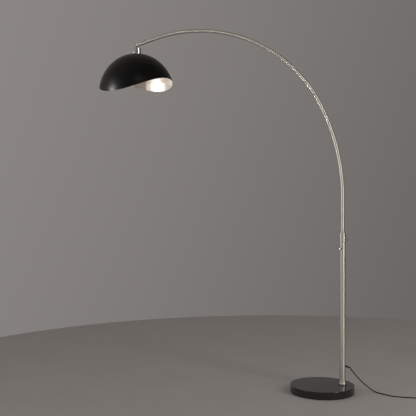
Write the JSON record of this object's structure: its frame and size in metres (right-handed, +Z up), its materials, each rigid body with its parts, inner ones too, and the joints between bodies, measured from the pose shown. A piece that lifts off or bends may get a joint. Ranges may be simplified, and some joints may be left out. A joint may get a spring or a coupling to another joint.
{
  "type": "arc floor lamp",
  "caption": "Arc floor lamp: round black stone base, brushed steel pole and telescoping arc arm with two clamp screws, black dome shade with a wavy rim and silver lining.",
  "frame": {"origin": "centre of the base's underside, on the floor", "axes": "+Z up; the arm reaches towards -X from the pole on the +X side of the base; +Y is away from the viewer"},
  "size_m": [1.9315, 0.4069, 1.9963],
  "materials": {
    "polished_stone": "polished",
    "brushed_nickel": "brushed satin",
    "polished_chrome": "polished",
    "dark_steel": "satin",
    "zinc_steel": "zinc plated",
    "black_lacquer": "satin lacquer",
    "silver_leaf": "metal leaf",
    "brass": "machined",
    "white_nylon": "moulded",
    "white_plastic": "moulded",
    "opal_cover": "opal",
    "black_plastic": "moulded, fine texture",
    "black_rubber": "matt",
    "cord_jacket": "satin"
  },
  "bodies": {
    "root": {"base_mat": "black_rubber", "base_slab": "polished_stone", "base_bolt": "zinc_steel", "base_washer": "zinc_steel", "pole_foot_plug": "zinc_steel", "foot_gasket": "black_rubber", "foot_ferrule": "brushed_nickel", "pole_tube": "brushed_nickel", "pole_top_bush": "white_nylon", "pole_collar": "brushed_nickel", "upper_clamp_insert": "brushed_nickel", "lower_clamp_insert": "brushed_nickel", "pole_lead": "cord_jacket", "cord_strain_relief": "black_rubber", "mains_cord": "cord_jacket", "switch_cord": "cord_jacket", "cord_coil": "cord_jacket", "cord_tie": "black_plastic", "plug_cord": "cord_jacket", "switch_base": "black_plastic", "switch_cover": "black_plastic", "switch_spring": "zinc_steel", "switch_block": "white_plastic", "switch_screws": "zinc_steel", "switch_feet": "black_rubber", "switch_reliefs": "black_rubber", "plug_body": "black_plastic", "plug_pins": "polished_chrome"},
    "upper_clamp_slider": {"upper_clamp_pad": "white_nylon"},
    "upper_clamp_screw": {"upper_clamp_knob": "polished_chrome"},
    "lower_clamp_slider": {"lower_clamp_pad": "white_nylon"},
    "lower_clamp_screw": {"lower_clamp_knob": "polished_chrome"},
    "arm_slider": {"arm_glide": "white_nylon"},
    "arm": {"arm_foot_cap": "white_nylon", "arm_circlip": "zinc_steel", "arm_lower_tube": "brushed_nickel", "arm_joint_spigot": "zinc_steel", "arm_joint_screw": "dark_steel", "arm_upper_tube": "brushed_nickel", "arm_end_knuckle": "brushed_nickel", "stem_nipple": "zinc_steel", "stem_collar": "dark_steel", "stem_washer": "white_nylon", "stem_nut": "zinc_steel", "arm_lead": "cord_jacket"},
    "shade": {"holder_cup": "polished_chrome", "lampholder": "white_plastic", "lampholder_contacts": "brass", "holder_lead": "cord_jacket", "shade_ring": "white_plastic", "shade_shell": "black_lacquer", "shade_lining": "silver_leaf", "bulb_globe": "opal_cover", "bulb_body": "white_plastic", "bulb_cap": "polished_chrome"},
    "foot_button": {"switch_button": "black_plastic"}
  },
  "joints": [
    {"name": "height_slide", "type": "slide", "parent": "root", "child": "arm_slider", "axis": [0, 0, 1], "range_m": [-0.18, 0.06], "deforming": ["pole_lead"]},
    {"name": "arm_swing", "type": "hinge", "parent": "arm_slider", "child": "arm", "pos_m": [0.112, 0, 0.655], "axis": [0, 0, 1], "range_deg": [-90, 90]},
    {"name": "shade_swivel", "type": "hinge", "parent": "arm", "child": "shade", "pos_m": [-1.019, 0, 1.885], "axis": [0, 0, 1], "range_deg": [-170, 170]},
    {"name": "upper_clamp_travel", "type": "slide", "parent": "root", "child": "upper_clamp_slider", "axis": [1, 0, 0], "range_m": [0, 0.002]},
    {"name": "upper_clamp_turn", "type": "hinge", "parent": "upper_clamp_slider", "child": "upper_clamp_screw", "pos_m": [0.132, 0, 0.835], "axis": [1, 0, 0], "range_deg": [0, 720]},
    {"name": "lower_clamp_travel", "type": "slide", "parent": "root", "child": "lower_clamp_slider", "axis": [-0.766, -0.6428, 0], "range_m": [0, 0.002]},
    {"name": "lower_clamp_turn", "type": "hinge", "parent": "lower_clamp_slider", "child": "lower_clamp_screw", "pos_m": [0.09668, -0.01286, 0.788], "axis": [-0.766, -0.6428, 0], "range_deg": [0, 720]},
    {"name": "foot_button_press", "type": "slide", "parent": "root", "child": "foot_button", "axis": [0, 0, -1], "range_m": [0, 0.003], "stiffness_N_per_m": 800, "springref_m": -0.0005, "deforming": ["switch_spring"]}
  ],
  "couplings": [
    {"joint": "upper_clamp_turn", "follows": "upper_clamp_travel", "rad_per_m": 6283.2},
    {"joint": "lower_clamp_turn", "follows": "lower_clamp_travel", "rad_per_m": 6283.2}
  ]
}
